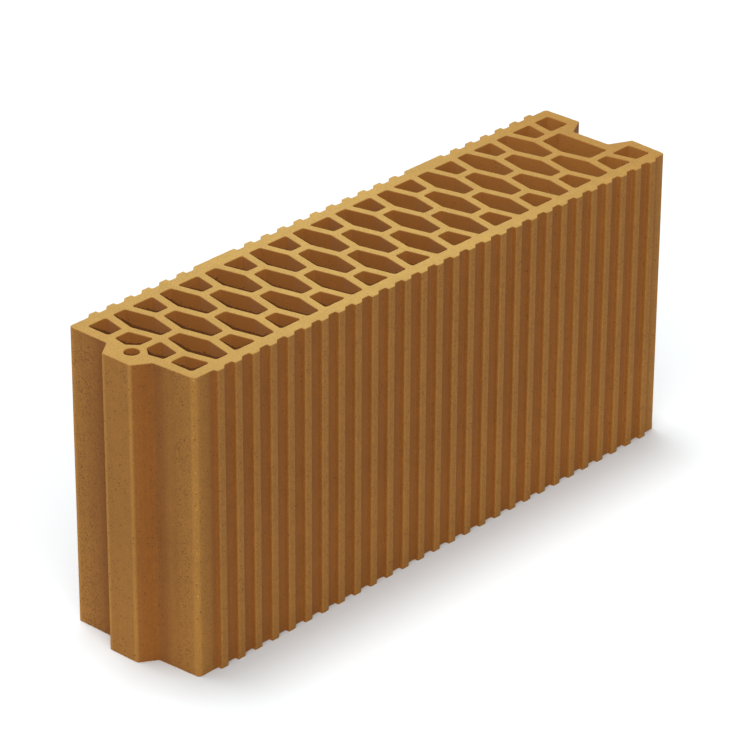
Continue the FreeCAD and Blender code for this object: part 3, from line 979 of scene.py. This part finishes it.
# %% [markdown]
# ### Relief and sheen
# Fired clay is dull, so it has hardly any gloss and a rough diffuse lobe. The sand and the pores
# also lift and dent the surface through the bump, by a few tenths of a millimetre.

# %% The clay's surface
SAND_RELIEF, CLOUD_RELIEF, DRAG_RELIEF, PORE_RELIEF = 0.55, 0.5, 0.25, 0.8
RELIEF_DEPTH = 0.0004     # in metres, for a relief of 1
RELIEF_STRENGTH = 0.6
SMOOTHEST, ROUGHEST = 0.84, 0.97
relief = reckon("ADD", reckon("MULTIPLY", sand, SAND_RELIEF),
                reckon("MULTIPLY", small_clouds, CLOUD_RELIEF))
relief = reckon("ADD", relief, reckon("MULTIPLY", drag_lines, DRAG_RELIEF))
relief = reckon("SUBTRACT", relief, reckon("MULTIPLY", all_pores, PORE_RELIEF))
bump = lay("ShaderNodeBump", Strength=RELIEF_STRENGTH, Distance=RELIEF_DEPTH, Height=relief)

surface = lay("ShaderNodeBsdfPrincipled", Base_Color=colour,
              Roughness=spread(sand, 0.3, 0.7, SMOOTHEST, ROUGHEST), Normal=bump.outputs[0])
surface.inputs["Specular IOR Level"].default_value = 0.25
surface.inputs["Diffuse Roughness"].default_value = 0.8
lay("ShaderNodeOutputMaterial", Surface=surface.outputs[0])
clay_mesh.materials.append(clay)
print("clay finish:", len(tree.nodes), "nodes")

# %% [markdown]
# ## Floor
# The photo's block stands on a plain white ground. A disc that reaches past every view does this
# with one face. Its paper is a shade cooler than white, to offset the warm light that the clay
# throws on it.

# %% Floor
FLOOR_RADIUS = 14.0
PAPER = (0.93, 0.963, 0.98, 1.0)
floor_data = bmesh.new()
bmesh.ops.create_circle(floor_data, cap_ends=True, segments=96, radius=FLOOR_RADIUS)
floor_mesh = bpy.data.meshes.new("studio_floor")
floor_data.to_mesh(floor_mesh)
floor_data.free()
floor = bpy.data.objects.new("studio_floor", floor_mesh)
bpy.context.scene.collection.objects.link(floor)

floor_paper = bpy.data.materials.new("floor_paper")
floor_paper.use_nodes = True
paper = floor_paper.node_tree.nodes["Principled BSDF"]
paper.inputs["Base Color"].default_value = PAPER
paper.inputs["Roughness"].default_value = 0.95
paper.inputs["Specular IOR Level"].default_value = 0.1
floor_mesh.materials.append(floor_paper)
print(f"floor: {2 * FLOOR_RADIUS:.0f} m across")

# %% [markdown]
# ## Light
# Two suns with wide discs give soft, even studio light, as two large lamps far away would: one
# high behind the block, which makes the shadow at its foot, and one from the camera's side for
# the long face. The white sky fills the rest.

# %% Light
def sun(name, azimuth, elevation, strength, disc):
    """A sun towards the block from an azimuth like the camera's, with a wide disc, in degrees."""
    data = bpy.data.lights.new(name, "SUN")
    data.energy = strength
    data.angle = math.radians(disc)
    lamp = bpy.data.objects.new(name, data)
    a, e = math.radians(azimuth), math.radians(elevation)
    towards = Vector((math.sin(a) * math.cos(e), -math.cos(a) * math.cos(e), math.sin(e)))
    lamp.rotation_mode = "QUATERNION"
    lamp.rotation_quaternion = towards.to_track_quat("Z", "Y")
    bpy.context.scene.collection.objects.link(lamp)


sun("high_light", azimuth=170, elevation=81, strength=1.72, disc=18)
sun("front_light", azimuth=-48, elevation=50, strength=1.35, disc=50)

SKY_STRENGTH = 0.27
sky = bpy.data.worlds.new("studio_sky")
sky.use_nodes = True
background = sky.node_tree.nodes["Background"]
background.inputs["Color"].default_value = (1.0, 1.0, 1.0, 1.0)
background.inputs["Strength"].default_value = SKY_STRENGTH
bpy.context.scene.world = sky
bpy.context.scene.view_settings.view_transform = "Standard"
print("lights:", ", ".join(lamp.name for lamp in bpy.data.lights), "and the sky")

# %% [markdown]
# ## The camera
# A long lens, nearly three metres away, looks at the corner between the tongue and the long
# front. It could be moved by eye until the picture fits. Its place here comes from fitting the
# honeycomb's regular grid to where its cells lie in the photo, which is far more exact.

# %% Camera
FOCAL_PIXELS = 3980.86
AZIMUTH, ELEVATION, ROLL = -47.906, 27.260, 0.330
DISTANCE = 2.91996
AIM_RIGHT, AIM_UP = -0.00399, 0.105665
PICTURE = 750             # the photo's width in pixels
SENSOR = 36.0

camera_data = bpy.data.cameras.new("photo_camera")
camera_data.sensor_width = SENSOR
camera_data.lens = FOCAL_PIXELS / PICTURE * SENSOR
camera = bpy.data.objects.new("photo_camera", camera_data)
a, e, r = map(math.radians, (AZIMUTH, ELEVATION, ROLL))
back = Vector((math.sin(a) * math.cos(e), -math.cos(a) * math.cos(e), math.sin(e)))
level_right = Vector((math.cos(a), math.sin(a), 0.0))
level_up = back.cross(level_right)
right = level_right * math.cos(r) + level_up * math.sin(r)
up = level_up * math.cos(r) - level_right * math.sin(r)
camera.matrix_world = Matrix((right, up, back)).transposed().to_4x4()
camera.location = level_right * AIM_RIGHT + level_up * AIM_UP + back * DISTANCE
bpy.context.scene.collection.objects.link(camera)
bpy.context.scene.camera = camera
print(f"lens {camera_data.lens:.1f} mm at {DISTANCE} m")
